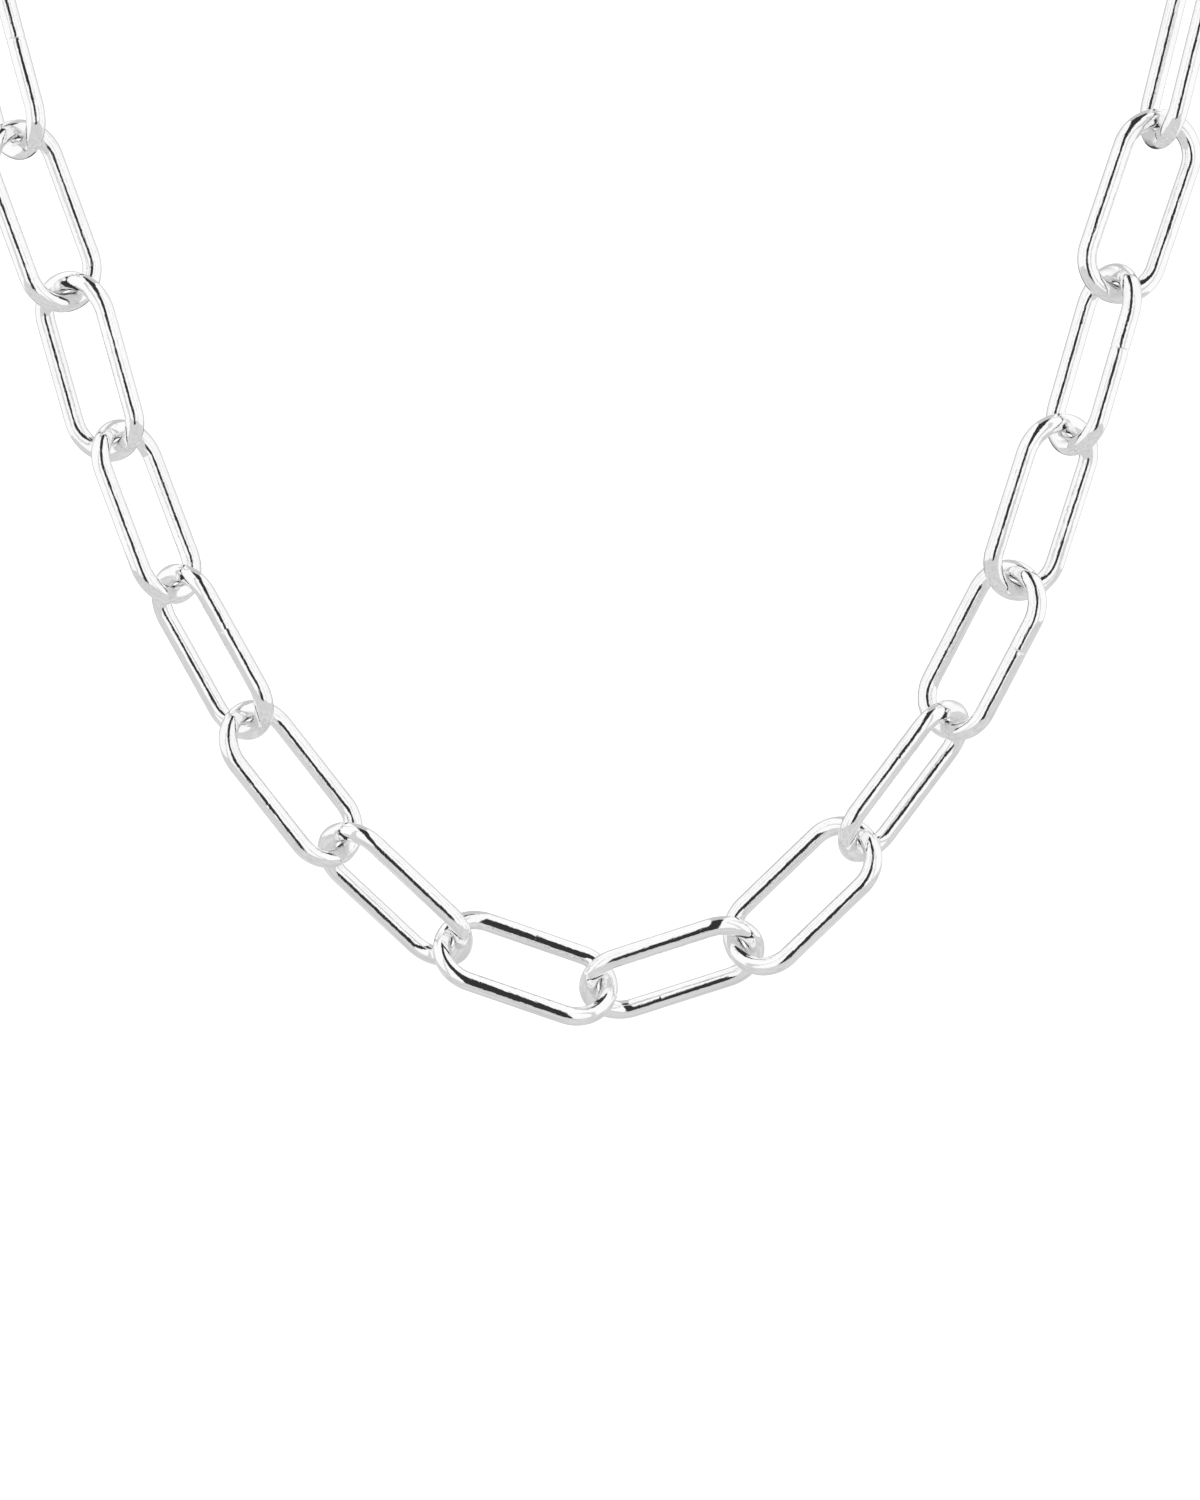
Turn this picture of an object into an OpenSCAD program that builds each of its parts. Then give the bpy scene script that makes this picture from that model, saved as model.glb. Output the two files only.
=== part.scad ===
// Paperclip chain necklace: long oval wire links that hook into each other, closed by a clasp,
// in the form that it has round a neck. X is across, the front is towards -Y and Z is up.
// The origin is the middle of the nape, on the line of the chain. Sizes are in millimetres.

/* [Link] */
// Length of a link over its two round ends
link_l = 17.4; // [15:0.1:20.5]
// Width of a link over its two straight sides
link_w = 8.3; // [7.6:0.1:9.6]
// Thickness of a link's round wire
wire_d = 1.7; // [1.3:0.05:1.8]
// Air left where two wires of the front stretch hook into each other
hook_gap = 0.14; // [0.12:0.01:0.25]
// One step of the slips by which the front links hang a little off their straight pull
slip_step = 0.05; // [0:0.005:0.06]

/* [Chain] */
// Links on each side of the neck, between the front stretch and the clasp
side_links = 8; // [7:1:11]
// How far the front stretch leans back from upright, in degrees
front_lean = 18; // [10:1:25]
// Height of the nape above the two ends of the front stretch
nape_rise = 48; // [40:1:58]
// Air left at the hooks round the neck, where the links lean more
side_gap = 0.3; // [0.26:0.01:0.5]
// Turn of each hidden link about the line of the chain, in degrees
side_roll = 45; // [39:1:49]

/* [Clasp] */
// Length of the clasp's claw over its round ends
claw_l = 9; // [7.6:0.1:11]
// Width of the clasp's claw
claw_w = 6.6; // [6.2:0.1:7.5]
// Thickness of the claw's bar
claw_d = 1.6; // [1.3:0.1:1.8]
// Width of the clasp's round eye
eye_w = 5; // [4.8:0.1:6]
// Thickness of the eye's bar
eye_d = 1.2; // [1:0.1:1.3]
// Length of the stem between the claw and the eye
stem_l = 1.8; // [1:0.1:3]
// Thickness of the stem
stem_d = 2; // [1.6:0.1:2.6]

/* [Hidden] */
$fn = 64;

// The front stretch, from its top left end down to the middle and up to its top right end.
// Each row is one link. In degrees: the heading of its long axis in the front's plane, how far
// that axis tips towards the viewer, and the link's turn about it, positive where the side on
// the left of the heading comes forward. In slip steps: how far it slips to the left where it
// hooks into the link before.
FRONT = [
    [-75.5, 2, 48, 0],
    [-71.5, -7, -38, -5],
    [-76, -6, 29, 0],
    [-69.5, 4.5, -55, 5],
    [-61, 4, 43, 1],
    [-53, -3, -44, -6],
    [-44, -2, 42, 3],
    [-19, 1.5, -42, 8],
    [18.5, 2.5, 33, 5],
    [44.5, 0.5, -33, -4],
    [53, -5, 52, -8],
    [64, 6, -39, 2],
    [74, 7, 27, 3],
    [74.5, -2, -62, -6],
    [72, -0.5, 14, 3],
    [77.5, 4, -76, 5],
];
front_n = len(FRONT);

// The way round the neck: two curves that leave the front's ends along their links and meet
// level at the nape. Each pull is a share of the loop's depth, which is solved to DEPTH_ERROR so
// that the loop closes.
END_PULL = 0.75;
NAPE_PULL = 0.7;
CURVE_STEPS = 48;
DEPTH_ERROR = 0.0001;

// Distances between the centres of the round ends, along a link and from one to the next
link_run = link_l - link_w;
hook_run = link_w - 2 * wire_d - hook_gap;
side_run = link_w - 2 * wire_d - side_gap;
claw_hook = (link_w + claw_w) / 2 - wire_d - claw_d - side_gap;
eye_hook = (link_w + eye_w) / 2 - wire_d - eye_d - side_gap;
claw_run = claw_l - claw_w;
clasp_run = claw_run + claw_w / 2 + stem_l + eye_w / 2;

function unit(v) = v / norm(v);
function two(n) = n < 10 ? str("0", n) : str(n);
function mix(a, b, t) = a * (1 - t) + b * t;

// A frame is the centre, the long axis, the direction of the width and the normal of the plane
function frame(centre, along, facing, roll) =
    let (side = unit(cross(facing, along)))
    let (front = cross(along, side))
    let (width = side * cos(roll) + front * sin(roll))
    [centre, along, width, cross(along, width)];

// The front's plane leans back, so its own up is partly to the rear
plane_up = [0, sin(front_lean), cos(front_lean)];
plane_out = [0, -cos(front_lean), sin(front_lean)];
function axis_of(heading, tilt) =
    [cos(heading) * cos(tilt), 0, 0] + sin(heading) * cos(tilt) * plane_up + sin(tilt) * plane_out;

// Where two hooked links pull straight, the line between their round ends lies in both planes
turned = [for (row = FRONT) frame([0, 0, 0], axis_of(row[0], row[1]), plane_out, row[2])];
function hook_line(a, b) =
    let (line = unit(cross(a[3], b[3])))
    line * a[1] > 0 ? line : -line;
// A link that slips off that line hooks a little deeper, because the round ends curve in
function step_to(i) =
    let (a = turned[i - 1])
    let (b = turned[i])
    let (line = hook_line(a, b))
    let (slip = unit(cross(plane_out, line)) * FRONT[i][3] * slip_step)
    let (deeper = (pow(slip * a[3], 2) + pow(slip * b[3], 2)) / (link_w - 2 * wire_d))
    a[1] * link_run / 2 + line * (hook_run - deeper) + slip + b[1] * link_run / 2;
function centre_of(i) = i == 0 ? [0, 0, 0] : centre_of(i - 1) + step_to(i);
front_links = [for (i = [0 : front_n - 1]) concat([centre_of(i)], [for (k = [1 : 3]) turned[i][k]])];

// The round end centres where the front stretch starts and stops
front_start = front_links[0][0] - front_links[0][1] * link_run / 2;
front_stop = front_links[front_n - 1][0] + front_links[front_n - 1][1] * link_run / 2;

function curve_point(p, t) =
    pow(1 - t, 3) * p[0] + 3 * pow(1 - t, 2) * t * p[1] + 3 * (1 - t) * t * t * p[2] + pow(t, 3) * p[3];
function nape_of(depth) =
    [(front_start[0] + front_stop[0]) / 2,
     (front_start[1] + front_stop[1]) / 2 + depth,
     (front_start[2] + front_stop[2]) / 2 + nape_rise];

// The straight runs between end centres on the way round: a hook and a link, again and again,
// with the clasp in the middle
to_clasp = [for (k = [1 : side_links]) each [side_run, link_run]];
from_clasp = [for (k = [1 : side_links]) each [link_run, side_run]];
runs = concat(to_clasp, [eye_hook, clasp_run, claw_hook], from_clasp);

function total(list, k) = k < 0 ? 0 : list[k] + total(list, k - 1);
way_round = total(runs, len(runs) - 1);

// The hidden line from the front's right end, round the nape and back to its left end. One more
// point past the end lets a walk that is too long run on.
function hidden_line(depth) =
    let (nape = nape_of(depth))
    let (level = [depth * NAPE_PULL, 0, 0])
    let (leave = front_links[front_n - 1][1] * depth * END_PULL)
    let (arrive = front_links[0][1] * depth * END_PULL)
    let (right = [front_stop, front_stop + leave, nape + level, nape])
    let (left = [nape, nape - level, front_start - arrive, front_start])
    concat(
        [for (k = [0 : CURVE_STEPS - 1]) curve_point(right, k / CURVE_STEPS)],
        [for (k = [0 : CURVE_STEPS]) curve_point(left, k / CURVE_STEPS)],
        [front_start + unit(arrive) * way_round]);

// The share of the way from a to b at which the distance from p is r
function share_at(p, a, b, r) =
    let (ab = b - a)
    let (pa = a - p)
    let (half = (ab * pa) / (ab * ab))
    -half + sqrt(max(0, half * half - (pa * pa - r * r) / (ab * ab)));
// Steps along a line of points in straight runs. Each result is a point and its place on the line.
function walk(line, k, at, found) =
    k == len(runs) ? found :
    let (p = found[len(found) - 1][0])
    norm(line[at + 1] - p) < runs[k] ? walk(line, k, at + 1, found) :
    let (t = share_at(p, line[at], line[at + 1], runs[k]))
    walk(line, k + 1, at, concat(found, [[mix(line[at], line[at + 1], t), at + t]]));
function walked(depth) = walk(hidden_line(depth), 0, 0, [[front_stop, 0]]);
// The loop's depth at which the last run ends where the front stretch starts
function solved_depth(low, high) =
    let (guess = (low + high) / 2)
    high - low < DEPTH_ERROR ? guess :
    let (ends = walked(guess))
    ends[len(ends) - 1][1] > 2 * CURVE_STEPS ? solved_depth(guess, high) : solved_depth(low, guess);
loop_depth = solved_depth(0, way_round / 2);
stops = [for (found = walked(loop_depth)) found[0]];
nape = nape_of(loop_depth);

// The hidden pieces in order: links, the clasp, links. Their facing is carried along the line
// from the front's own, without a twist. The first link on each side is turned across the front's
// last one, and the turn eases so that the clasp lies flat.
hidden_n = 2 * side_links + 1;
function start_of(k) = stops[2 * k + 1];
function stop_of(k) = stops[2 * k + 2];
function along_of(k) = unit(stop_of(k) - start_of(k));
function facing_of(k) =
    let (before = k == 0 ? plane_out : facing_of(k - 1))
    unit(before - (before * along_of(k)) * along_of(k));
function roll_of(k) =
    k == side_links ? 90 :
    let (from_front = k < side_links ? k + 1 : hidden_n - k)
    let (swing = k < side_links ? 1 : -1)
    let (turn = from_front % 2 == 1 ? 1 : -1)
    let (ease = (side_links % 2 == 1 ? -1 : 1) * from_front / side_links)
    let (met = k < side_links ? FRONT[front_n - 1][2] + 90 : FRONT[0][2] - 90)
    swing * side_roll * (turn + ease) + (met - swing * side_roll) * (1 - from_front / side_links);
hidden_links = [for (k = [0 : hidden_n - 1])
    frame((start_of(k) + stop_of(k)) / 2, along_of(k), facing_of(k), roll_of(k))];

link_frames = concat(front_links,
    [for (k = [0 : hidden_n - 1]) if (k != side_links) hidden_links[k]]);
clasp_frame = hidden_links[side_links];

module place(f) {
    c = f[0] - nape;
    multmatrix([
        [f[1][0], f[2][0], f[3][0], c[0]],
        [f[1][1], f[2][1], f[3][1], c[1]],
        [f[1][2], f[2][2], f[3][2], c[2]],
        [0, 0, 0, 1]]) children();
}

// A closed oval of round wire, its length along X and its width along Y
module wire_oval(length, width, wire) {
    run = length - width;
    bend = (width - wire) / 2;
    for (end = [-1, 1]) {
        translate([end * run / 2, 0, 0]) rotate([0, 0, -90 * end])
            rotate_extrude(angle = 180) translate([bend, 0]) circle(d = wire);
    }
    if (run > 0) {
        for (side = [-1, 1]) {
            translate([0, side * bend, 0]) rotate([0, 90, 0]) cylinder(d = wire, h = run, center = true);
        }
    }
}

module link(f) {
    color([0.82, 0.82, 0.83]) place(f) wire_oval(link_l, link_w, wire_d);
}

// The clasp is one plain piece: a round eye, a stem and a closed claw, its eye towards -X
module clasp(f) {
    eye_x = -clasp_run / 2;
    claw_x = clasp_run / 2 - claw_run / 2;
    color([0.78, 0.78, 0.8]) place(f) {
        translate([eye_x, 0, 0]) wire_oval(eye_w, eye_w, eye_d);
        translate([eye_x + (eye_w - eye_d) / 2, 0, 0]) rotate([0, 90, 0])
            cylinder(d = stem_d, h = stem_l + (eye_d + claw_d) / 2);
        translate([claw_x, 0, 0]) wire_oval(claw_l, claw_w, claw_d);
    }
}

for (i = [1 : len(link_frames)]) {
    link(link_frames[i - 1]);
}
clasp(clasp_frame);
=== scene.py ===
"""Paperclip chain necklace in polished silver: round wire links hooked into each other and a clasp."""

import math

import bpy
import numpy as np
from bpy.props import FloatProperty, FloatVectorProperty, IntProperty, PointerProperty
from mathutils import Matrix, Vector


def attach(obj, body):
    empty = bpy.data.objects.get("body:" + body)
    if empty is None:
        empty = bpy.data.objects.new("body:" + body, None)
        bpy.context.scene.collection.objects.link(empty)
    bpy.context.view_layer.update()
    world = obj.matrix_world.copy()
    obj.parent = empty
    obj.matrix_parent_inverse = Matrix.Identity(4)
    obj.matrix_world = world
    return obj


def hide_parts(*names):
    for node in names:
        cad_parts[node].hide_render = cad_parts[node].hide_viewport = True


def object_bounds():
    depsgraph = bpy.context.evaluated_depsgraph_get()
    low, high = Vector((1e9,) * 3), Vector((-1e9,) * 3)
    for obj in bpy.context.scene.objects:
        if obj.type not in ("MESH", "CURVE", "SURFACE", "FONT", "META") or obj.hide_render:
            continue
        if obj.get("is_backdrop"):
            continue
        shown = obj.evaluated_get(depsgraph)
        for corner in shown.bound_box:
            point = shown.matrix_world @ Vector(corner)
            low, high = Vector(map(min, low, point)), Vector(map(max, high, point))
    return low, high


bl_info = {
    "name": "Paperclip chain necklace",
    "version": (1, 0, 0),
    "blender": (4, 5, 0),
    "location": "View3D > Sidebar > Necklace",
    "description": "Builds the silver wire links, the clasp and a white studio round the packed solids",
    "category": "Add Mesh",
}

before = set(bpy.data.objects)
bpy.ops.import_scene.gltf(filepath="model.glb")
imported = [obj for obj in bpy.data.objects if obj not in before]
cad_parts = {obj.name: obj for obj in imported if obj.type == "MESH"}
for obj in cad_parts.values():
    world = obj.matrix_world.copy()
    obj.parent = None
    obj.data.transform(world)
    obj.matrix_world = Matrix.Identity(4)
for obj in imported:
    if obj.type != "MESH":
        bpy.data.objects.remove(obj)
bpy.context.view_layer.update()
LINKS = sorted(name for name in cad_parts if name.startswith("link_"))
MM = 0.001


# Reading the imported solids


def triangles_of(mesh):
    """The mesh's points, and the first, second and third corners of all its triangles."""
    mesh.calc_loop_triangles()
    points = np.empty(len(mesh.vertices) * 3, np.float32)
    mesh.vertices.foreach_get("co", points)
    points = points.reshape(-1, 3).astype(float)
    corners = np.empty(len(mesh.loop_triangles) * 3, np.int32)
    mesh.loop_triangles.foreach_get("vertices", corners)
    return points, points[corners.reshape(-1, 3)].transpose(1, 0, 2)


def lie_of(name):
    """Centre, directions and sizes of one solid: its long way, its wide way and its thin way."""
    points, (a, b, c) = triangles_of(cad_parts[name].data)
    area = np.linalg.norm(np.cross(b - a, c - a), axis=1)
    middle = (a + b + c) / 3
    centre = (middle * area[:, None]).sum(0) / area.sum()
    # A triangle spreads out as its three corners do, with nine times their weight on its middle
    spread = np.zeros((3, 3))
    for part, share in ((a, 1), (b, 1), (c, 1), (middle, 9)):
        away = part - centre
        spread += share * (away * area[:, None]).T @ away
    ways = np.linalg.eigh(spread)[1].T[::-1]
    along = (points - centre) @ ways.T
    centre = centre + (along.max(0) + along.min(0)) / 2 @ ways
    return centre, ways, np.ptp(along, axis=0)


LIES = {name: lie_of(name) for name in LINKS}
CLASP = lie_of("clasp")
LINK_SIZE = np.median([LIES[name][2] for name in LINKS], axis=0)


# Sizes and finishes that a user would change


class LinkSizes(bpy.types.PropertyGroup):
    """Sizes of the wire links."""

    length: FloatProperty(
        name="Link length",
        description="Length of a link over its two round ends",
        default=float(LINK_SIZE[0]),
        subtype="DISTANCE",
        unit="LENGTH",
    )
    width: FloatProperty(
        name="Link width",
        description="Width of a link over its two straight sides",
        default=float(LINK_SIZE[1]),
        subtype="DISTANCE",
        unit="LENGTH",
    )
    wire: FloatProperty(
        name="Wire thickness",
        description="Diameter of the round wire",
        default=float(LINK_SIZE[2]),
        subtype="DISTANCE",
        unit="LENGTH",
    )
    seam_depth: FloatProperty(
        name="Seam depth",
        description="How deep the clearest of the polished solder seams dips",
        default=0.05 * MM,
        precision=6,
        subtype="DISTANCE",
        unit="LENGTH",
    )
    seam_width: FloatProperty(
        name="Seam width",
        description="Width of the solder seam along the wire",
        default=0.1 * MM,
        subtype="DISTANCE",
        unit="LENGTH",
    )
    in_front: IntProperty(
        name="Links in front",
        description="How many links, from the first, hang in the front stretch",
        default=16,
        min=1,
    )
    bend_points: IntProperty(
        name="Points round an end", description="Steps round each round end", default=40, min=8
    )
    round_points: IntProperty(
        name="Points round the wire", description="Steps round the wire itself", default=36, min=8
    )


class ClaspSizes(bpy.types.PropertyGroup):
    """Sizes of the clasp's pieces."""

    claw_length: FloatProperty(
        name="Claw length",
        description="Length of the claw over its round ends",
        default=9.0 * MM,
        subtype="DISTANCE",
        unit="LENGTH",
    )
    claw_bar: FloatProperty(
        name="Claw bar",
        description="Thickness of the claw's bar",
        default=1.6 * MM,
        subtype="DISTANCE",
        unit="LENGTH",
    )
    eye_width: FloatProperty(
        name="Eye width",
        description="Width of the round eye",
        default=5.0 * MM,
        subtype="DISTANCE",
        unit="LENGTH",
    )
    eye_bar: FloatProperty(
        name="Eye bar",
        description="Thickness of the eye's bar",
        default=1.2 * MM,
        subtype="DISTANCE",
        unit="LENGTH",
    )
    stem: FloatProperty(
        name="Stem thickness",
        description="Thickness of the stem between the claw and the eye",
        default=2.0 * MM,
        subtype="DISTANCE",
        unit="LENGTH",
    )


class SilverFinish(bpy.types.PropertyGroup):
    """The polished silver."""

    colour: FloatVectorProperty(
        name="Silver",
        description="Colour of the polished metal",
        default=(0.95, 0.95, 0.952, 1.0),
        size=4,
        min=0.0,
        max=1.0,
        subtype="COLOR",
    )
    # The second colour is also painted shade on the inner side of each link's round ends
    shade: FloatVectorProperty(
        name="Dull silver",
        description="Colour of the metal where it is a little dull",
        default=(0.86, 0.86, 0.862, 1.0),
        size=4,
        min=0.0,
        max=1.0,
        subtype="COLOR",
    )
    roughness: FloatProperty(
        name="Roughness",
        description="Roughness of the polished metal",
        default=0.022,
        min=0.0,
        max=1.0,
        subtype="FACTOR",
    )
    streaks: FloatProperty(
        name="Streak height",
        description="Height of the fine streaks that drawing leaves along the wire",
        default=0.017 * MM,
        precision=7,
        subtype="DISTANCE",
        unit="LENGTH",
    )
    marks: FloatProperty(
        name="Mark depth",
        description="Depth of the small marks from handling",
        default=0.0012 * MM,
        precision=7,
        subtype="DISTANCE",
        unit="LENGTH",
    )


class StudioSettings(bpy.types.PropertyGroup):
    """The white tent, the floor and the camera."""

    floor_drop: FloatProperty(
        name="Floor drop",
        description="How far the floor lies under the lowest link",
        default=0.16,
        subtype="DISTANCE",
        unit="LENGTH",
    )
    walls: FloatProperty(
        name="Tent brightness",
        description="Brightness of the white walls that the silver mirrors",
        default=1.06,
        min=0.0,
    )
    table: FloatProperty(
        name="Table brightness",
        description="Brightness of the pale table that the silver mirrors",
        default=0.68,
        min=0.0,
    )
    table_drop: FloatProperty(
        name="Table drop",
        description="How far the mirrored table lies under the lowest link",
        default=0.015,
        subtype="DISTANCE",
        unit="LENGTH",
    )
    table_left: FloatProperty(
        name="Table left",
        description="How far the mirrored table reaches to the left at its near edge",
        default=0.131,
        subtype="DISTANCE",
        unit="LENGTH",
    )
    table_right: FloatProperty(
        name="Table right",
        description="How far the mirrored table reaches to the right at its near edge",
        default=0.114,
        subtype="DISTANCE",
        unit="LENGTH",
    )
    table_near: FloatProperty(
        name="Table near edge",
        description="How far in front of the nape the mirrored table starts",
        default=0.005,
        subtype="DISTANCE",
        unit="LENGTH",
    )
    table_far: FloatProperty(
        name="Table far edge",
        description="How far in front of the nape the mirrored table ends",
        default=0.545,
        subtype="DISTANCE",
        unit="LENGTH",
    )
    opening: FloatProperty(
        name="Opening brightness",
        description="Brightness of the tent's dark opening in front",
        default=0.035,
        min=0.0,
    )
    opening_width: FloatProperty(
        name="Opening width",
        description="Width of the tent's dark opening",
        default=0.13,
        subtype="DISTANCE",
        unit="LENGTH",
    )
    opening_away: FloatProperty(
        name="Opening distance",
        description="How far the tent's dark opening is from the front stretch",
        default=0.283,
        subtype="DISTANCE",
        unit="LENGTH",
    )
    post: FloatProperty(
        name="Post brightness",
        description="Brightness of the two grey posts beside the tent's opening",
        default=0.69,
        min=0.0,
    )
    post_width: FloatProperty(
        name="Post width",
        description="Width of each grey post",
        default=0.039,
        subtype="DISTANCE",
        unit="LENGTH",
    )
    post_side: FloatProperty(
        name="Post side",
        description="How far each grey post stands to its side",
        default=0.136,
        subtype="DISTANCE",
        unit="LENGTH",
    )
    post_away: FloatProperty(
        name="Post distance",
        description="How far in front of the front stretch the grey posts stand",
        default=0.114,
        subtype="DISTANCE",
        unit="LENGTH",
    )
    camera_rise: FloatProperty(
        name="Camera elevation",
        description="Angle from which the camera looks down",
        default=math.radians(25.31),
        subtype="ANGLE",
        unit="ROTATION",
    )
    camera_away: FloatProperty(
        name="Camera distance",
        description="Distance from the camera to the front stretch",
        default=0.3263,
        subtype="DISTANCE",
        unit="LENGTH",
    )
    aim_rise: FloatProperty(
        name="Aim height",
        description="How far up the front stretch the camera aims, from its lowest joint",
        default=21.38 * MM,
        subtype="DISTANCE",
        unit="LENGTH",
    )
    aim_across: FloatProperty(
        name="Aim across",
        description="How far to the side of the lowest joint the camera aims",
        default=0.12 * MM,
        subtype="DISTANCE",
        unit="LENGTH",
    )
    front_lean: FloatProperty(
        name="Front lean",
        description="How far the front stretch leans back from upright",
        default=math.radians(18.0),
        subtype="ANGLE",
        unit="ROTATION",
    )
    view_width: FloatProperty(
        name="View width",
        description="Width of the view at the front stretch",
        default=108.0 * MM,
        subtype="DISTANCE",
        unit="LENGTH",
    )


# Node trees

NODE_WIDE = 210
NODE_HIGH = 260
NODES_IN_ROW = 8


class Board:
    """Puts nodes on one tree from left to right and joins them."""

    def __init__(self, tree):
        self.tree = tree
        self.count = 0

    def add(self, kind, feeds=None, **settings):
        """A new node with its settings, fed at its named inputs."""
        node = self.tree.nodes.new(kind)
        row, column = divmod(self.count, NODES_IN_ROW)
        node.location = (NODE_WIDE * column, -NODE_HIGH * row)
        self.count += 1
        for name, value in settings.items():
            setattr(node, name, value)
        for name, value in (feeds or {}).items():
            self.feed(node.inputs[name], value)
        return node

    def out(self, kind, feeds=None, **settings):
        """The first output of a new node."""
        return self.add(kind, feeds, **settings).outputs[0]

    def feed(self, socket, value):
        """Joins another node's output to the socket, or sets the socket to a plain value."""
        if isinstance(value, bpy.types.NodeSocket):
            self.tree.links.new(value, socket)
        else:
            socket.default_value = value

    def math(self, operation, *values, clamp=False):
        """The result of one sum on numbers."""
        node = self.add("ShaderNodeMath", operation=operation, use_clamp=clamp)
        for socket, value in zip(node.inputs, values):
            self.feed(socket, value)
        return node.outputs[0]

    def times(self, product, *factors):
        """The product of the values, taken from left to right."""
        for factor in factors:
            product = self.math("MULTIPLY", product, factor)
        return product

    def rest(self, value):
        """What is left of one."""
        return self.math("SUBTRACT", 1.0, value)

    def vector(self, operation, *values):
        """The result of one sum on vectors."""
        node = self.add("ShaderNodeVectorMath", operation=operation)
        for socket, value in zip(node.inputs, values):
            self.feed(socket, value)
        return node.outputs["Value" if operation == "DOT_PRODUCT" else "Vector"]

    def ramp(self, value, start, stop, low=0.0, high=1.0):
        """low before start, high after stop, and a smooth step between them."""
        feeds = {"Value": value, "From Min": start, "From Max": stop, "To Min": low, "To Max": high}
        return self.out("ShaderNodeMapRange", feeds, interpolation_type="SMOOTHSTEP")

    def xyz(self, x, y, z):
        return self.out("ShaderNodeCombineXYZ", {"X": x, "Y": y, "Z": z})

    def split(self, vector):
        return self.add("ShaderNodeSeparateXYZ", {"Vector": vector}).outputs

    def keep(self, curve, **values):
        """The curve and values of its points, kept for the mesh swept from it. Each is (kind, value)."""
        kept = self.add("GeometryNodeCaptureAttribute", {"Geometry": curve}, domain="POINT")
        for name, (kind, _value) in values.items():
            kept.capture_items.new(kind, name)
        for name, (_kind, value) in values.items():
            self.feed(kept.inputs[name], value)
        return kept.outputs

    def store(self, mesh, name, kind, value):
        """The mesh with a value stored on its points under a name."""
        feeds = {"Geometry": mesh, "Name": name, "Value": value}
        return self.out("GeometryNodeStoreNamedAttribute", feeds, data_type=kind, domain="POINT")

    def stored(self, name, kind):
        """The value that the points hold under a name."""
        return self.out("GeometryNodeInputNamedAttribute", {"Name": name}, data_type=kind)


def new_tree(name, kind, inputs, outputs):
    """A node group with named sockets. Each input is (name, socket type, default)."""
    tree = bpy.data.node_groups.new(name, kind)
    for title, socket_type, value in inputs:
        made = tree.interface.new_socket(name=title, in_out="INPUT", socket_type=socket_type)
        if value is not None:
            made.default_value = value
    for title, socket_type in outputs:
        tree.interface.new_socket(name=title, in_out="OUTPUT", socket_type=socket_type)
    board = Board(tree)
    return board, board.add("NodeGroupInput").outputs


def cleared_board(owner):
    """The board of a material's or a world's own tree, with nothing on it yet."""
    owner.use_nodes = True
    owner.node_tree.nodes.clear()
    return Board(owner.node_tree)


def round_profile(board, count, thickness):
    """A round section whose points keep their way out from its middle."""
    radius = board.times(thickness, 0.5)
    circle = board.out("GeometryNodeCurvePrimitiveCircle", {"Resolution": count, "Radius": radius})
    way_out = board.vector("NORMALIZE", board.out("GeometryNodeInputPosition"))
    return board.keep(circle, Round=("VECTOR", way_out))


def swept_wire(board, line, profile, feeds):
    """The section swept along the line, with the path that the drawn streaks follow.

    The path goes round the wire in X and Y, and along it in Z.
    """
    ways = {"Curve": line["Geometry"], "Profile Curve": profile["Geometry"]}
    wire = board.out("GeometryNodeCurveToMesh", {**ways, **feeds})
    around = board.split(profile["Round"])
    path = board.xyz(around["X"], around["Y"], line["Along"])
    return board.store(wire, "wire_path", "FLOAT_VECTOR", path)


def placed_on_points(board, given, shape):
    """The shape as a mesh on each given point, turned by the point's own rotation."""
    turned = board.stored("turned", "QUATERNION")
    feeds = {"Points": given["Points"], "Instance": shape, "Rotation": turned}
    placed = board.out("GeometryNodeInstanceOnPoints", feeds)
    return board.out("GeometryNodeRealizeInstances", {"Geometry": placed})


def finished_tree(board, given, mesh):
    """The tree, once its mesh is smooth and silver and goes out of it."""
    smooth = board.out("GeometryNodeSetShadeSmooth", {"Geometry": mesh})
    feeds = {"Geometry": smooth, "Material": given["Silver"]}
    board.add("NodeGroupOutput", {"Mesh": board.out("GeometryNodeSetMaterial", feeds)})
    return board.tree


MESH_OUT = (("Mesh", "NodeSocketGeometry"),)
WIRE_INPUTS = (
    ("Length", "NodeSocketFloat", 0.0174),
    ("Width", "NodeSocketFloat", 0.0083),
    ("Wire", "NodeSocketFloat", 0.0017),
    ("Bend points", "NodeSocketInt", 40),
    ("Round points", "NodeSocketInt", 36),
    ("Seam width", "NodeSocketFloat", 0.0001),
)

# Steps from the seam to a bend, how they crowd at the seam, steps on half of the far side, and the
# turn in radians below which a point is still on the seam's own side
SEAM_POINTS = 10
SEAM_CROWDING = 2.5
FAR_POINTS = 2
HARDLY_TURNED = 0.001

# How closely the painted shade keeps to the inner side of the wire and to the tip of the link
END_SHADE_INNER = 2.0
END_SHADE_TIP = 3.0


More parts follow.
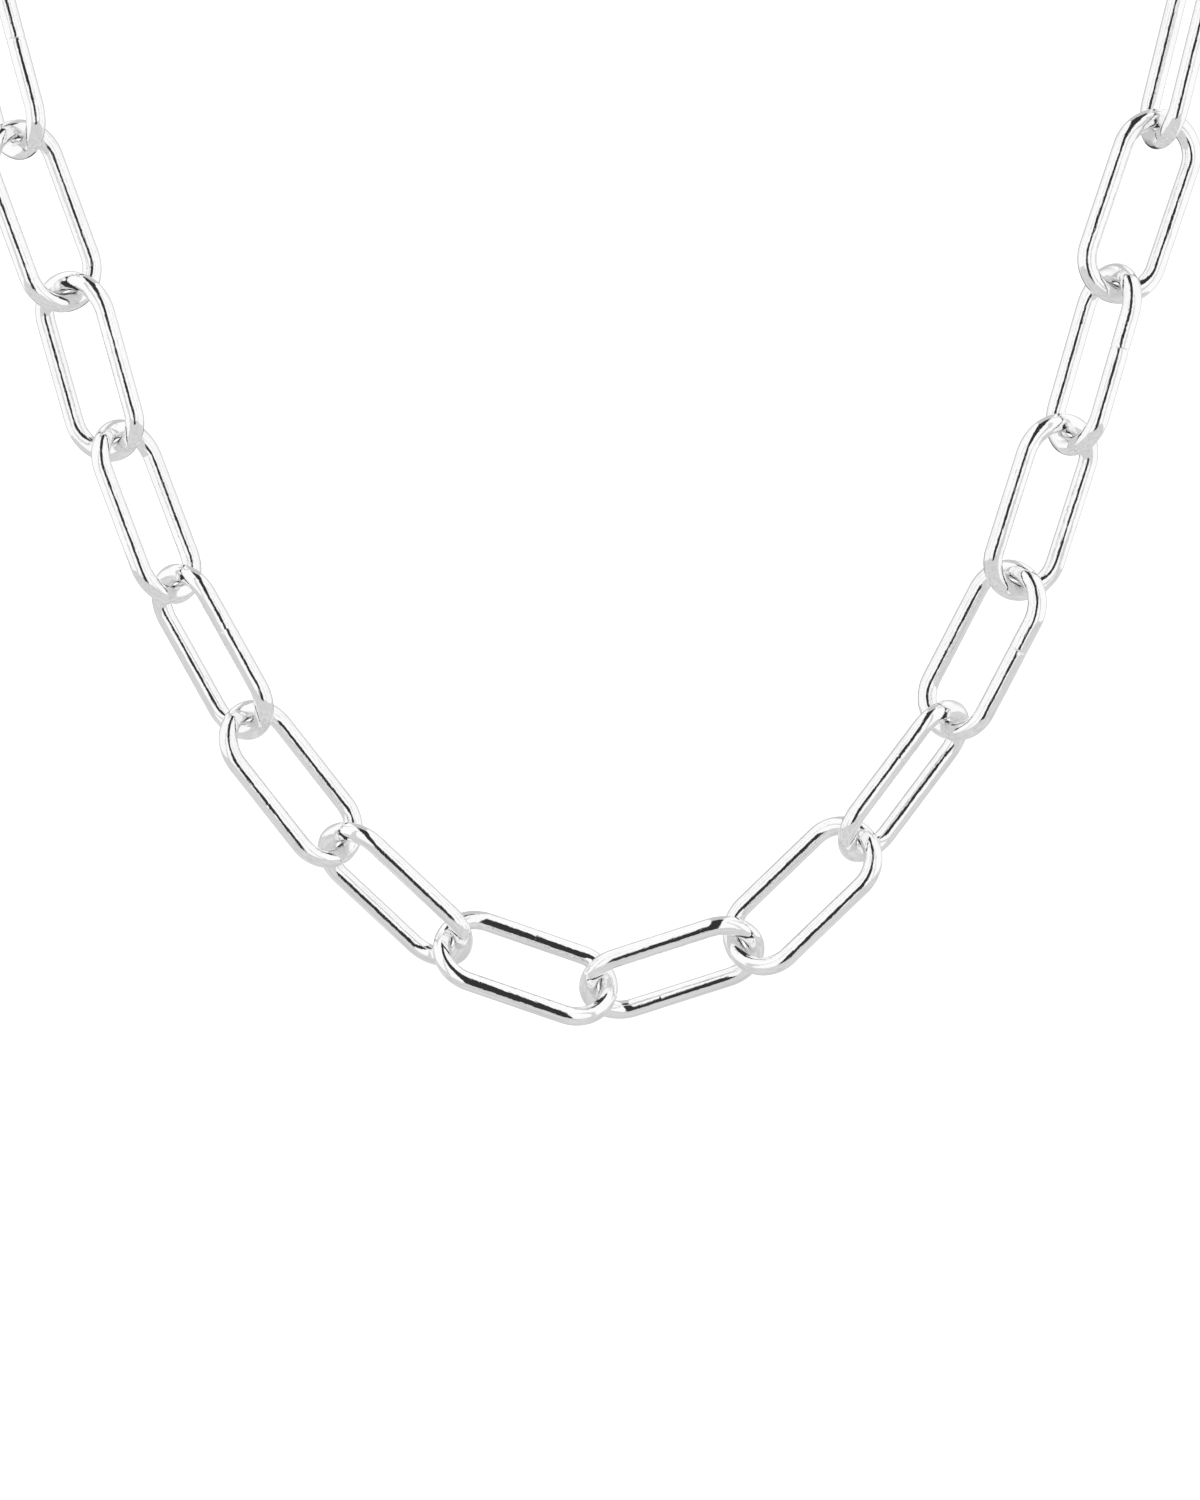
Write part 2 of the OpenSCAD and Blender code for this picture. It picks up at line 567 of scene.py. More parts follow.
def wire_oval_tree():
    """One closed oval of round wire. Its line starts at the solder seam, in the middle of the +Y side."""
    board, given = new_tree("Wire oval", "GeometryNodeTree", WIRE_INPUTS, MESH_OUT)
    half_run = board.times(board.math("SUBTRACT", given["Length"], given["Width"]), 0.5)
    bend = board.times(board.math("SUBTRACT", given["Width"], given["Wire"]), 0.5)
    half_count = board.math("ADD", given["Bend points"], SEAM_POINTS + FAR_POINTS)
    count = board.times(half_count, 2.0)
    ring = board.out("GeometryNodeCurvePrimitiveCircle", {"Resolution": count})
    # Both halves of the ring count from the seam: out along the near side, round an end, back
    index = board.out("GeometryNodeInputIndex")
    from_end = board.math("SUBTRACT", board.math("SUBTRACT", count, 1.0), index)
    step = board.math("MINIMUM", index, from_end)
    hand = board.math("MULTIPLY_ADD", board.math("LESS_THAN", index, half_count), 2.0, -1.0)
    near = board.math("DIVIDE", board.math("ADD", step, 0.5), float(SEAM_POINTS), clamp=True)
    near = board.math("POWER", near, SEAM_CROWDING)
    past_seam = board.math("SUBTRACT", step, float(SEAM_POINTS))
    turn = board.math("DIVIDE", past_seam, given["Bend points"], clamp=True)
    turn = board.times(turn, math.pi)
    past_bend = board.math("SUBTRACT", past_seam, given["Bend points"])
    far = board.math("DIVIDE", past_bend, FAR_POINTS - 0.5, clamp=True)
    run = board.times(half_run, board.times(near, board.rest(far)))
    out = board.math("MULTIPLY_ADD", board.math("SINE", turn), bend, run)
    up = board.times(board.math("COSINE", turn), bend)
    place = board.xyz(board.times(out, hand), up, 0.0)
    line = board.out("GeometryNodeSetPosition", {"Geometry": ring, "Position": place})
    # The seam dips evenly all round the wire, and its pull fades to nothing where the bends start
    from_seam = board.math("DIVIDE", run, given["Seam width"])
    on_side = board.math("LESS_THAN", turn, HARDLY_TURNED)
    dip = board.times(board.math("EXPONENT", board.times(from_seam, from_seam, -1.0)), on_side)
    pull = board.times(board.rest(near), on_side)
    kept_line = board.keep(
        line,
        Middle=("VECTOR", board.out("GeometryNodeInputPosition")),
        Along=("FLOAT", board.add("GeometryNodeSplineParameter").outputs["Length"]),
        Seam=("VECTOR", board.xyz(dip, pull, 0.0)),
    )
    profile = round_profile(board, given["Round points"], given["Wire"])
    wire = swept_wire(board, kept_line, profile, {"Fill Caps": False})
    wire = board.store(wire, "seam", "FLOAT_VECTOR", kept_line["Seam"])
    # Painted shade, with more roughness, where the next link hangs: the inner side of each round end
    middle = board.split(kept_line["Middle"])
    held = board.math("MAXIMUM", middle["X"], board.times(half_run, -1.0))
    held = board.math("MINIMUM", held, half_run)
    tip = board.math("DIVIDE", board.math("SUBTRACT", middle["X"], held), bend)
    outward = board.xyz(tip, board.math("DIVIDE", middle["Y"], bend), 0.0)
    away = board.vector("SUBTRACT", board.out("GeometryNodeInputPosition"), kept_line["Middle"])
    facing = board.vector("DOT_PRODUCT", board.vector("NORMALIZE", away), outward)
    inner = board.math("POWER", board.math("MULTIPLY", facing, -1.0, clamp=True), END_SHADE_INNER)
    rub = board.times(inner, board.math("POWER", board.math("ABSOLUTE", tip), END_SHADE_TIP))
    board.add("NodeGroupOutput", {"Mesh": board.store(wire, "rub", "FLOAT", rub)})
    return board.tree


def hooked_links_tree():
    """A wire oval on each point, turned by the point's own rotation, as one mesh."""
    inputs = (
        ("Points", "NodeSocketGeometry", None),
        *WIRE_INPUTS,
        ("Silver", "NodeSocketMaterial", None),
    )
    board, given = new_tree("Hooked links", "GeometryNodeTree", inputs, MESH_OUT)
    oval = board.out(
        "GeometryNodeGroup",
        {title: given[title] for title, _kind, _value in WIRE_INPUTS},
        node_tree=bpy.data.node_groups["Wire oval"],
    )
    links = placed_on_points(board, given, oval)
    # Each link's own seam slides along its side and dips by its own depth
    dip, pull, _none = board.split(board.stored("seam", "FLOAT_VECTOR"))
    slip = board.xyz(board.times(board.stored("seam_slip", "FLOAT"), pull), 0.0, 0.0)
    turned = board.stored("turned", "QUATERNION")
    slide = board.out("FunctionNodeRotateVector", {"Vector": slip, "Rotation": turned})
    sink = board.times(board.stored("seam_depth", "FLOAT"), dip, -1.0)
    normal = board.out("GeometryNodeInputNormal")
    inwards = board.vector("MULTIPLY", normal, board.xyz(sink, sink, sink))
    moves = {"Geometry": links, "Offset": board.vector("ADD", slide, inwards)}
    return finished_tree(board, given, board.out("GeometryNodeSetPosition", moves))


# Points along a post and round it
POST_POINTS = 41
POST_ROUND_POINTS = 40

# The waist swells to the collar between these shares of the way from the middle to an end
COLLAR = (0.45, 0.75)

# How squarely a post's ends round off, and the share of its thickness that is left at their tips
END_SQUARENESS = 12.0
LEAST_END = 0.02


def turned_post_tree():
    """A lathe-turned post along X on each point: round ends, a waist and a collar at each end."""
    inputs = (
        ("Points", "NodeSocketGeometry", None),
        ("Length", "NodeSocketFloat", 0.002),
        ("Thickness", "NodeSocketFloat", 0.002),
        ("Waist", "NodeSocketFloat", 0.2),
        ("Silver", "NodeSocketMaterial", None),
    )
    board, given = new_tree("Turned post", "GeometryNodeTree", inputs, MESH_OUT)
    half = board.times(given["Length"], 0.5)
    ends = {"Start": board.xyz(board.times(half, -1.0), 0.0, 0.0), "End": board.xyz(half, 0.0, 0.0)}
    line = board.out("GeometryNodeCurvePrimitiveLine", ends)
    points = board.out("GeometryNodeResampleCurve", {"Curve": line, "Count": POST_POINTS})
    share = board.add("GeometryNodeSplineParameter").outputs["Factor"]
    from_middle = board.math("ABSOLUTE", board.math("MULTIPLY_ADD", share, 2.0, -1.0))
    # Crowd the steps at both ends, where the post rounds off
    spread = board.math("SINE", board.times(from_middle, math.pi / 2))
    hand = board.math("SIGN", board.math("SUBTRACT", share, 0.5))
    place = board.xyz(board.times(spread, half, hand), 0.0, 0.0)
    moved = board.out("GeometryNodeSetPosition", {"Geometry": points, "Position": place})
    along = board.add("GeometryNodeSplineParameter").outputs["Length"]
    kept_line = board.keep(moved, Along=("FLOAT", along))
    body = board.rest(board.times(given["Waist"], board.rest(board.ramp(spread, *COLLAR))))
    rounding = board.math("POWER", spread, END_SQUARENESS)
    end = board.math("SQRT", board.math("SUBTRACT", 1.0, rounding, clamp=True))
    size = board.math("MAXIMUM", board.times(body, end), LEAST_END)
    profile = round_profile(board, POST_ROUND_POINTS, given["Thickness"])
    post = swept_wire(board, kept_line, profile, {"Scale": size, "Fill Caps": True})
    return finished_tree(board, given, placed_on_points(board, given, post))


# Finishes

# Noise values between which the patches of handling marks and of dull silver fade in
MARK_PATCHES = (0.48, 0.68)
DULL_PATCHES = (0.42, 0.72)

# How coarse the patches of marks are beside the marks themselves
MARK_PATCH_SCALE = 0.15

# Roughness that dull patches and marks add, and a seam for each metre of its depth
DULL_ROUGHNESS = 0.09
MARK_ROUGHNESS = 0.12
SEAM_ROUGHNESS = 0.3 / (0.05 * MM)

# Places of the colour sockets on a mix node
MIX_FIRST = 6
MIX_SECOND = 7
MIX_RESULT = 2


def drawn_streaks_group():
    """Fine streaks along the wire, from the die that it was drawn through."""
    inputs = (
        ("Path", "NodeSocketVector", None),
        ("Around", "NodeSocketFloat", 3.4),
        ("Along", "NodeSocketFloat", 700.0),
    )
    board, given = new_tree(
        "Drawn streaks", "ShaderNodeTree", inputs, [("Height", "NodeSocketFloat")]
    )
    stretch = board.xyz(given["Around"], given["Around"], given["Along"])
    way = board.vector("MULTIPLY", given["Path"], stretch)
    feeds = {"Vector": way, "Scale": 1.0, "Detail": 3.0, "Roughness": 0.6}
    board.add("NodeGroupOutput", {"Height": board.out("ShaderNodeTexNoise", feeds)})
    return board.tree


def handling_marks_group():
    """Small scratches and pits from wear, as a mask and a height."""
    inputs = (
        ("Position", "NodeSocketVector", None),
        ("Size", "NodeSocketFloat", 2500.0),
        ("Share", "NodeSocketFloat", 0.3),
    )
    outputs = [("Mask", "NodeSocketFloat"), ("Height", "NodeSocketFloat")]
    board, given = new_tree("Handling marks", "ShaderNodeTree", inputs, outputs)
    feeds = {"Vector": given["Position"], "Scale": given["Size"]}
    cells = board.add("ShaderNodeTexVoronoi", feeds, feature="F1")
    pit = board.ramp(cells.outputs["Distance"], 0.0, given["Share"], 1.0, 0.0)
    coarse = board.times(given["Size"], MARK_PATCH_SCALE)
    feeds = {"Vector": given["Position"], "Scale": coarse, "Detail": 2.0}
    patch = board.ramp(board.out("ShaderNodeTexNoise", feeds), *MARK_PATCHES)
    mask = board.times(pit, patch)
    board.add("NodeGroupOutput", {"Mask": mask, "Height": board.times(mask, -1.0)})
    return board.tree


def dull_silver_and_shade_group():
    """Where the silver is darker and rougher: soft dull patches, and painted shade on the inner side of
    each round end, where links hang through each other.
    """
    inputs = (
        ("Position", "NodeSocketVector", None),
        ("End shade", "NodeSocketFloat", 0.0),
        ("Size", "NodeSocketFloat", 160.0),
        ("Amount", "NodeSocketFloat", 0.35),
    )
    board, given = new_tree("Dull silver", "ShaderNodeTree", inputs, [("Mask", "NodeSocketFloat")])
    feeds = {"Vector": given["Position"], "Scale": given["Size"], "Detail": 4.0, "Roughness": 0.55}
    cloud = board.ramp(board.out("ShaderNodeTexNoise", feeds), *DULL_PATCHES)
    soft = board.times(cloud, given["Amount"])
    board.add("NodeGroupOutput", {"Mask": board.math("MAXIMUM", soft, given["End shade"])})
    return board.tree


def silver_material(name, finish, around, marks_share):
    """Polished silver with streaks along the wire, small marks, dull patches and painted shade where the
    links hang through each other.
    """
    material = bpy.data.materials.new(name)
    board = cleared_board(material)
    groups = bpy.data.node_groups

    def piece_value(title, kind):
        return board.add("ShaderNodeAttribute", attribute_name=title).outputs[kind]

    spot = board.add("ShaderNodeTexCoord").outputs["Object"]
    feeds = {"Path": piece_value("wire_path", "Vector"), "Around": around}
    streaks = board.out("ShaderNodeGroup", feeds, node_tree=groups["Drawn streaks"])
    feeds = {"Position": spot, "Share": marks_share}
    marks = board.add("ShaderNodeGroup", feeds, node_tree=groups["Handling marks"]).outputs
    feeds = {"Position": spot, "End shade": piece_value("rub", "Fac")}
    dull_and_shade = board.out("ShaderNodeGroup", feeds, node_tree=groups["Dull silver"])
    # The dull colour goes on the soft dull patches, and as painted shade on the inner side of each round
    # end
    colour = board.add("ShaderNodeMix", {"Factor": dull_and_shade}, data_type="RGBA")
    board.feed(colour.inputs[MIX_FIRST], tuple(finish.colour))
    board.feed(colour.inputs[MIX_SECOND], tuple(finish.shade))
    rough = board.math("MULTIPLY_ADD", dull_and_shade, DULL_ROUGHNESS, finish.roughness)
    rough = board.math("MULTIPLY_ADD", marks["Mask"], MARK_ROUGHNESS, rough)
    # A deep solder seam has lost some polish
    dip = board.split(piece_value("seam", "Vector"))["X"]
    sunk = board.times(dip, piece_value("seam_depth", "Fac"))
    rough = board.math("MULTIPLY_ADD", sunk, SEAM_ROUGHNESS, rough)
    feeds = {"Height": streaks, "Distance": finish.streaks, "Strength": 1.0}
    drawn = board.out("ShaderNodeBump", feeds)
    feeds = {"Height": marks["Height"], "Distance": finish.marks, "Strength": 1.0, "Normal": drawn}
    marked = board.out("ShaderNodeBump", feeds)
    base = colour.outputs[MIX_RESULT]
    feeds = {"Base Color": base, "Metallic": 1.0, "Roughness": rough, "Normal": marked}
    metal = board.out("ShaderNodeBsdfPrincipled", feeds)
    board.add("ShaderNodeOutputMaterial", {"Surface": metal})
    return material


# Building the pieces


def fill_modifier(piece, tree, values):
    """Adds the tree to the piece as a modifier and sets its named inputs."""
    modifier = piece.modifiers.new(tree.name, "NODES")
    modifier.node_group = tree
    items = [item for item in tree.interface.items_tree if item.item_type == "SOCKET"]
    sockets = {item.name: item.identifier for item in items}
    for name, value in values.items():
        modifier[sockets[name]] = value


def made_piece(name, tree_name, places, values, nodes, seams=None):
    """Runs a tree on a point for each place, makes the result a plain mesh and ties it to the frame.

    Each seam is how far it slips along its side and how deep it dips.
    """
    points = bpy.data.meshes.new(f"{name}_points")
    points.from_pydata([place.translation for place in places], [], [])
    for title, kind in (("turned", "QUATERNION"), ("seam_slip", "FLOAT"), ("seam_depth", "FLOAT")):
        points.attributes.new(title, kind, "POINT")
    given = points.attributes
    for number, (place, (slip, depth)) in enumerate(zip(places, seams or [(0.0, 0.0)] * len(places))):
        given["turned"].data[number].value = place.to_quaternion()
        given["seam_slip"].data[number].value = slip
        given["seam_depth"].data[number].value = depth
    maker = bpy.data.objects.new(f"{name}_points", points)
    bpy.context.scene.collection.objects.link(maker)
    fill_modifier(maker, bpy.data.node_groups[tree_name], values)
    graph = bpy.context.evaluated_depsgraph_get()
    mesh = bpy.data.meshes.new_from_object(maker.evaluated_get(graph), depsgraph=graph)
    bpy.data.objects.remove(maker)
    mesh.name = name
    if signed_volume(mesh) < 0:
        mesh.flip_normals()
    piece = bpy.data.objects.new(name, mesh)
    bpy.context.scene.collection.objects.link(piece)
    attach(piece, "root")
    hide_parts(*nodes)


def signed_volume(mesh):
    """The volume inside the mesh, negative where its faces point inwards."""
    _points, (a, b, c) = triangles_of(mesh)
    return float((a * np.cross(b, c)).sum() / 6)


def place_of(centre, along, across):
    """The matrix that puts a piece's X along, its Y across and its middle at the centre."""
    along = Vector(along).normalized()
    across = Vector(across)
    across = (across - across.dot(along) * along).normalized()
    thin = along.cross(across)
    place = Matrix((along, across, thin)).transposed().to_4x4()
    place.translation = Vector(centre)
    return place


# The solder seams that show. Each is the side of the chain's way that it lies on, where 1 is the
# left as seen from the front, how far along it lies from that side's middle, and how clear it is.
SEAMS = {
    "link_01": (1, -1.2 * MM, 1.0),
    "link_05": (1, -1.1 * MM, 0.35),
    "link_06": (-1, -0.1 * MM, 0.2),
    "link_09": (-1, -1.9 * MM, 0.15),
    "link_11": (1, 1.3 * MM, 0.3),
    "link_12": (-1, 1.8 * MM, 0.8),
    "link_14": (-1, 1.4 * MM, 1.0),
}
FAINT_SEAM = (1, 0.0, 0.04)


def link_places(names):
    """Each link's matrix: X on towards the next link, Y to the side that holds its solder seam."""
    places = []
    for name in names:
        centre, ways, _size = LIES[name]
        along, across = ways[0], ways[1]
        number = LINKS.index(name)
        following = LIES[LINKS[(number + 1) % len(LINKS)]][0]
        if np.dot(following - centre, along) < 0:
            along = -along
        left = np.cross((0.0, -1.0, 0.0), along)
        if np.dot(across, left) * SEAMS.get(name, FAINT_SEAM)[0] < 0:
            across = -across
        places.append(place_of(centre, along, across))
    return places


def link_values(sizes, silver):
    """What the links' tree is given, by the names of its inputs."""
    return {
        "Length": sizes.length,
        "Width": sizes.width,
        "Wire": sizes.wire,
        "Bend points": sizes.bend_points,
        "Round points": sizes.round_points,
        "Seam width": sizes.seam_width,
        "Silver": silver,
    }


def link_seams(names, sizes):
    """Each link's seam: how far it slips along its side and how deep it dips."""
    seams = [SEAMS.get(name, FAINT_SEAM) for name in names]
    return [(slip, clear * sizes.seam_depth) for _side, slip, clear in seams]


def links_piece(name, names, sizes):
    """Builds the named links as one piece."""
    values = link_values(sizes, bpy.data.materials["polished_silver"])
    places, seams = link_places(names), link_seams(names, sizes)
    made_piece(name, "Hooked links", places, values, names, seams)


class NECKLACE_OT_finishes(bpy.types.Operator):
    """Make the silver finishes and the node trees that the pieces share"""

    bl_idname = "necklace.finishes"
    bl_label = "Make finishes"

    def execute(self, context):
        wire_oval_tree()
        hooked_links_tree()
        turned_post_tree()
        drawn_streaks_group()
        handling_marks_group()
        dull_silver_and_shade_group()
        finish = context.scene.necklace_silver
        silver_material("polished_silver", finish, around=3.4, marks_share=0.3)
        silver_material("clasp_silver", finish, around=2.6, marks_share=0.4)
        return {"FINISHED"}


class NECKLACE_OT_front_links(bpy.types.Operator):
    """Build the links of the front stretch"""

    bl_idname = "necklace.front_links"
    bl_label = "Build front links"

    def execute(self, context):
        sizes = context.scene.necklace_links
        links_piece("front_links", LINKS[: sizes.in_front], sizes)
        return {"FINISHED"}


class NECKLACE_OT_side_links(bpy.types.Operator):
    """Build the links that go round the neck"""

    bl_idname = "necklace.side_links"
    bl_label = "Build side links"

    def execute(self, context):
        sizes = context.scene.necklace_links
        links_piece("side_links", LINKS[sizes.in_front :], sizes)
        return {"FINISHED"}


# The round eye keeps a short straight run for its seam
EYE_RUN = 0.1 * MM

# How far the stem runs on into its neighbours, as a share of the eye's bar, and how slim its waist is
STEM_OVERLAP = 0.9
STEM_WAIST = 0.22

# The rivet's length and thickness, as shares of the claw's bar, and how far it lies in the claw
RIVET_LENGTH = 1.3
RIVET_THICKNESS = 0.55
RIVET_IN = 0.1 * MM


class NECKLACE_OT_clasp(bpy.types.Operator):
    """Build the clasp: its claw, eye, stem and rivet"""

    bl_idname = "necklace.clasp"
    bl_label = "Build clasp"

    def execute(self, context):
        sizes = context.scene.necklace_clasp
        silver = bpy.data.materials["clasp_silver"]
        centre, ways, extent = CLASP
        length, claw_width = float(extent[0]), float(extent[1])
        # The heavy end is the claw, so the solid's weight lies on its side of the middle
        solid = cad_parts["clasp"].data
        weight = np.mean([vertex.co[:] for vertex in solid.vertices], axis=0)
        along = ways[0] * (1 if np.dot(weight - centre, ways[0]) > 0 else -1)
        claw_at = centre + along * (length - sizes.claw_length) / 2
        eye_at = centre - along * (length - sizes.eye_width) / 2
        ring = link_values(context.scene.necklace_links, silver)
        claw = {"Length": sizes.claw_length, "Width": claw_width, "Wire": sizes.claw_bar}
        eye = {"Length": sizes.eye_width + EYE_RUN, "Width": sizes.eye_width, "Wire": sizes.eye_bar}
        for name, middle, values in (("clasp_claw", claw_at, claw), ("clasp_eye", eye_at, eye)):
            places = [place_of(middle, along, ways[1])]
            made_piece(name, "Hooked links", places, {**ring, **values}, ["clasp"])
        stem_from = eye_at + along * (sizes.eye_width - sizes.eye_bar) / 2
        stem_to = claw_at - along * (sizes.claw_length - sizes.claw_bar) / 2
        between = float(np.linalg.norm(stem_to - stem_from))
        stem = {
            "Length": between + sizes.eye_bar * STEM_OVERLAP,
            "Thickness": sizes.stem,
            "Waist": STEM_WAIST,
            "Silver": silver,
        }
        rivet = {
            "Length": sizes.claw_bar * RIVET_LENGTH,
            "Thickness": sizes.claw_bar * RIVET_THICKNESS,
            "Waist": 0.0,
            "Silver": silver,
        }
        stem_at = place_of((stem_from + stem_to) / 2, along, ways[1])
        rivet_at = place_of(stem_to + along * RIVET_IN, ways[2], ways[1])
        for name, place, values in (("clasp_stem", stem_at, stem), ("clasp_rivet", rivet_at, rivet)):
            made_piece(name, "Turned post", [place], values, ["clasp"])
        return {"FINISHED"}


# The studio

WHITE = (1.0, 1.0, 1.0, 1.0)

# Brightness of the white that is seen behind the necklace and lights the floor
SEEN_BRIGHTNESS = 1.1

# The front walls' share of the light, and the degrees off the front between which it grows to all
FRONT_SHARE = 0.97
FRONT_EDGES = (110.0, 135.0)

# The walls behind the necklace get less light low down. By how steeply the mirrored way points up,
# the loss eases from all of it at the foot to a share above the foot, and fades out further up.
LOW_FOOT = (-0.4, -0.15)
ABOVE_FOOT_SHARE = 0.7
LOW_TOP = (0.25, 0.5)

# Each dim wall: the degrees from the front, towards the right, between which its edge fades, how dim
# it is before and after that edge, and the share of the light that it loses
DIM_WALLS = (
    (112.0, 145.0, 0.0, 1.0, 0.45),
    (-145.0, -112.0, 1.0, 0.0, 0.6),
)

# How much wider the mirrored table gets on each side, for each metre towards its far edge, and the
# share by which its brightness goes up and down
TABLE_SPREAD_LEFT = 0.68
TABLE_SPREAD_RIGHT = 0.47
TABLE_UNEVEN = 0.1

# The opening is a slit that runs from just under the horizon in front, over the top, to the back,
# and goes on lower down there. Each stretch has its name, the degrees up from the front at which
# it starts and stops, and how many times as bright as the front one it is.
OPENING_STRETCHES = (
    ("front", -7.5, 110.0, 1.0),
    ("top", 110.0, 180.0, 17.0),
    ("back", 194.0, 230.0, 2.0),
)
OPENING_POINTS = 25

# How far the mirrored posts reach above the point that the camera aims at
POST_RISE = 0.3

# Noise values between which a mirrored sheet goes from its least to its most brightness, and the
# floor's paper from the first of its tones to the second
UNEVEN_PATCHES = (0.4, 0.6)
PAPER_GRAIN = (0.3, 0.7)
PAPER_TONES = (0.955, 0.975)

# Radii of the floor's two rings, and the points on each
FLOOR_RINGS = (1.0, 8.0)
FLOOR_POINTS = 64


def tent_world(studio):
    """The tent's white walls, all without colour."""
    world = bpy.data.worlds.new("white_tent")
    board = cleared_board(world)
    way = board.split(board.add("ShaderNodeTexCoord").outputs["Generated"])
    turn = board.math("ARCTAN2", way["X"], board.times(way["Y"], -1.0))
    turn = board.times(turn, math.degrees(1.0))
    lit = board.ramp(board.math("ABSOLUTE", turn), *FRONT_EDGES, FRONT_SHARE, 1.0)
    lit = board.times(lit, studio.walls)
    low_down = board.times(
        board.ramp(way["Z"], *LOW_TOP, 1.0, 0.0),
        board.ramp(way["Z"], *LOW_FOOT, 1.0, ABOVE_FOOT_SHARE),
    )
    for start, stop, at_start, at_stop, lost in DIM_WALLS:
        dim = board.times(board.ramp(turn, start, stop, at_start, at_stop), low_down)
        lit = board.times(lit, board.rest(board.times(dim, lost)))
    feeds = {"Color": board.xyz(lit, lit, lit), "Strength": 1.0}
    mirrored = board.out("ShaderNodeBackground", feeds)
    seen = board.out("ShaderNodeBackground", {"Color": WHITE, "Strength": SEEN_BRIGHTNESS})
    rays = board.add("ShaderNodeLightPath").outputs
    plain = board.math("MAXIMUM", rays["Is Camera Ray"], rays["Is Diffuse Ray"])
    both = board.add("ShaderNodeMixShader", {"Fac": plain})
    board.feed(both.inputs[1], mirrored)
    board.feed(both.inputs[2], seen)
    board.add("ShaderNodeOutputWorld", {"Surface": both.outputs[0]})
    return world


def paper_material():
    """Matt white paper for the floor."""
    material = bpy.data.materials.new("white_paper")
    board = cleared_board(material)
    spot = board.add("ShaderNodeTexCoord").outputs["Object"]
    grain = board.out("ShaderNodeTexNoise", {"Vector": spot, "Scale": 900.0, "Detail": 3.0})
    tone = board.ramp(grain, *PAPER_GRAIN, *PAPER_TONES)
    paper = board.out("ShaderNodeBsdfDiffuse", {"Color": board.xyz(tone, tone, tone)})
    board.add("ShaderNodeOutputMaterial", {"Surface": paper})
    return material


def stage_sheet(name, points, faces, material):
    """A thin sheet of the stage."""
    mesh = bpy.data.meshes.new(name)
    mesh.from_pydata(points, [], faces)
    mesh.materials.append(material)
    sheet = bpy.data.objects.new(name, mesh)
    bpy.context.scene.collection.objects.link(sheet)
    sheet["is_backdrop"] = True
    return sheet


def studio_floor(level):
    """The wide round floor of white paper, which the silver doesn't mirror."""
    turns = np.linspace(0, 2 * math.pi, FLOOR_POINTS, endpoint=False)
    rings = [
        (radius * math.cos(turn), radius * math.sin(turn), level)
        for radius in FLOOR_RINGS
        for turn in turns
    ]
    faces = [tuple(range(FLOOR_POINTS))]
    for k in range(FLOOR_POINTS):
        after = (k + 1) % FLOOR_POINTS
        faces.append((k, FLOOR_POINTS + k, FLOOR_POINTS + after, after))
    floor = stage_sheet("studio_floor", rings, faces, paper_material())
    floor.visible_glossy = False


def mirrored_sheet(name, pairs, brightness, uneven=0.0):
    """A band of the tent that shows nowhere but in the silver, given by its two edges' points.

    Uneven is the share by which its brightness goes up and down from patch to patch.
    """
    material = bpy.data.materials.new(name)
    board = cleared_board(material)
    spot = board.add("ShaderNodeTexCoord").outputs["Object"]
    feeds = {"Vector": spot, "Scale": 55.0, "Detail": 4.0, "Roughness": 0.6}
    patches = board.out("ShaderNodeTexNoise", feeds)
    least, most = brightness * (1.0 - uneven), brightness * (1.0 + uneven)
    light = board.ramp(patches, *UNEVEN_PATCHES, least, most)
    glow = board.out("ShaderNodeEmission", {"Color": WHITE, "Strength": light})
    board.add("ShaderNodeOutputMaterial", {"Surface": glow})
    points = [point for pair in pairs for point in pair]
    faces = [(k, k + 1, k + 3, k + 2) for k in range(0, len(points) - 2, 2)]
    sheet = stage_sheet(name, points, faces, material)
    sheet.visible_camera = False
    sheet.visible_diffuse = False
    sheet.visible_shadow = False


def tent_sheets(studio, level, aim):
    """The table close under the necklace, the tent's dark opening and its two front posts."""
    near, far = studio.table_near, studio.table_far
    left, right = -studio.table_left, studio.table_right
    far_left = left - TABLE_SPREAD_LEFT * (far - near)
    far_right = right + TABLE_SPREAD_RIGHT * (far - near)
    table = [
        ((left, -near, level), (right, -near, level)),
        ((far_left, -far, level), (far_right, -far, level)),
    ]
    mirrored_sheet("mirrored_table", table, studio.table, TABLE_UNEVEN)
    half, away = studio.opening_width / 2, studio.opening_away
    for name, start, stop, brighter in OPENING_STRETCHES:
        pairs = []
        for angle in np.radians(np.linspace(start, stop, OPENING_POINTS)):
            y, z = aim.y - away * math.cos(angle), aim.z + away * math.sin(angle)
            pairs.append(((aim.x - half, y, z), (aim.x + half, y, z)))
        mirrored_sheet(f"mirrored_opening_{name}", pairs, studio.opening * brighter)
    half, front = studio.post_width / 2, aim.y - studio.post_away
    for name, x in (("left", -studio.post_side), ("right", studio.post_side)):
        pairs = [((x - half, front, z), (x + half, front, z)) for z in (level, aim.z + POST_RISE)]
        mirrored_sheet(f"mirrored_{name}_post", pairs, studio.post)


def soft_light(name, place, aim, size, power):
    """A large soft lamp that lights the floor and isn't mirrored in the silver."""
    data = bpy.data.lights.new(name, "AREA")
    data.shape = "DISK"
    data.size = size
    data.energy = power
    lamp = bpy.data.objects.new(name, data)
    bpy.context.scene.collection.objects.link(lamp)
    lamp.location = place
    lamp.rotation_euler = (Vector(aim) - Vector(place)).to_track_quat("-Z", "Y").to_euler()
    lamp.visible_glossy = False
    lamp.visible_camera = False


